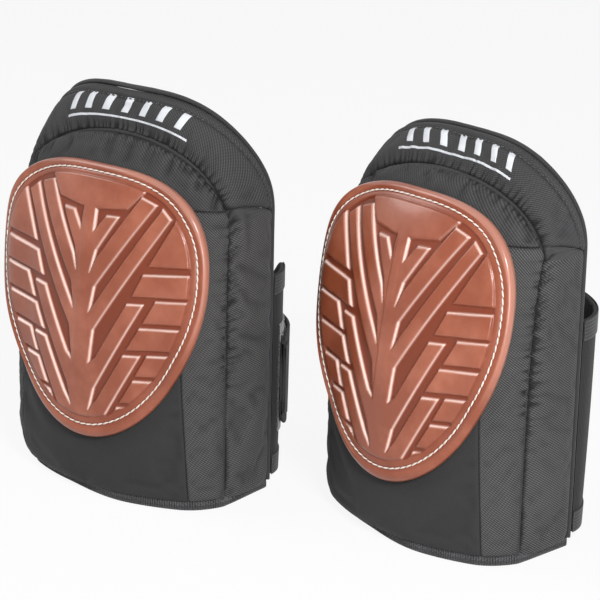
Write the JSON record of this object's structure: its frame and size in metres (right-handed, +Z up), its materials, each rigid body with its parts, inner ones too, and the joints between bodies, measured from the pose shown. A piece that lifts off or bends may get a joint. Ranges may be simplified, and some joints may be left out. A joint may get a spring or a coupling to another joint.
{
  "type": "work knee pads",
  "caption": "Work knee pads: padded fabric shell with wings, an egg-shaped ribbed rubber cap, a gel insert and an elastic leg band that closes with a hook-and-loop tab.",
  "frame": {"origin": "centre of the pair's bounding box, on the floor that the lower hems stand on", "axes": "+X along the row from the left pad to the right pad, -Y towards the front of the knee caps, +Z up"},
  "size_m": [0.3708, 0.2114, 0.2571],
  "materials": {
    "tpr": "semi-gloss",
    "foam": "matt",
    "gel": "gloss",
    "thread": "matt",
    "fine_fabric": "matt",
    "coarse_fabric": "matt",
    "lining": "matt",
    "binding": "matt",
    "stretch_band": "matt",
    "hook_and_loop": "matt",
    "webbing": "matt",
    "print": "satin"
  },
  "bodies": {
    "left_shell": {"left_knee_cap": "tpr", "left_cap_backing": "foam", "left_cap_stitching": "thread", "left_lower_front_panel": "fine_fabric", "left_upper_front_panel": "fine_fabric", "left_front_foam": "foam", "left_gel_insert": "gel", "left_front_lining": "lining", "left_top_band_panel": "fine_fabric", "left_top_band_foam": "foam", "left_edge_binding": "binding", "left_bottom_hem": "binding", "left_short_band": "stretch_band", "left_short_band_binding": "binding", "left_loop_patch": "hook_and_loop", "left_print_mark": "print", "left_outboard_front_strip": "coarse_fabric", "left_outboard_wing_panel": "coarse_fabric", "left_outboard_wing_foam": "foam", "left_outboard_wing_lining": "lining", "left_inboard_front_strip": "coarse_fabric", "left_inboard_wing_panel": "coarse_fabric", "left_inboard_wing_foam": "foam", "left_inboard_wing_lining": "lining"},
    "left_leg_band": {"left_long_band": "stretch_band", "left_long_band_binding": "binding"},
    "left_closure": {"left_closure_tab": "webbing", "left_hook_patch": "hook_and_loop", "left_tab_grip": "webbing"},
    "right_shell": {"right_knee_cap": "tpr", "right_cap_backing": "foam", "right_cap_stitching": "thread", "right_lower_front_panel": "fine_fabric", "right_upper_front_panel": "fine_fabric", "right_front_foam": "foam", "right_gel_insert": "gel", "right_front_lining": "lining", "right_top_band_panel": "fine_fabric", "right_top_band_foam": "foam", "right_edge_binding": "binding", "right_bottom_hem": "binding", "right_short_band": "stretch_band", "right_short_band_binding": "binding", "right_loop_patch": "hook_and_loop", "right_print_mark": "print", "right_outboard_front_strip": "coarse_fabric", "right_outboard_wing_panel": "coarse_fabric", "right_outboard_wing_foam": "foam", "right_outboard_wing_lining": "lining", "right_inboard_front_strip": "coarse_fabric", "right_inboard_wing_panel": "coarse_fabric", "right_inboard_wing_foam": "foam", "right_inboard_wing_lining": "lining"},
    "right_leg_band": {"right_long_band": "stretch_band", "right_long_band_binding": "binding"},
    "right_closure": {"right_closure_tab": "webbing", "right_hook_patch": "hook_and_loop", "right_tab_grip": "webbing"}
  },
  "joints": [
    {"name": "pads_apart", "type": "slide", "parent": "left_shell", "child": "right_shell", "axis": [1, 0, 0], "range_m": [0, 0.15]},
    {"name": "left_band_open", "type": "hinge", "parent": "left_shell", "child": "left_leg_band", "pos_m": [-0.18366, -0.02416, 0.075], "axis": [-0.0031, 0.0348, 0.9994], "range_deg": [0, 90]},
    {"name": "left_tab_peel", "type": "hinge", "parent": "left_leg_band", "child": "left_closure", "pos_m": [-0.061, 0.03074, 0.0715], "axis": [-0.0031, 0.0348, 0.9994], "range_deg": [0, 70]},
    {"name": "right_band_open", "type": "hinge", "parent": "right_shell", "child": "right_leg_band", "pos_m": [0.18357, 0.04654, 0.07635], "axis": [-0.0031, -0.0342, -0.9994], "range_deg": [0, 90]},
    {"name": "right_tab_peel", "type": "hinge", "parent": "right_leg_band", "child": "right_closure", "pos_m": [0.06598, 0.101, 0.07279], "axis": [-0.0031, -0.0342, -0.9994], "range_deg": [0, 70]}
  ]
}
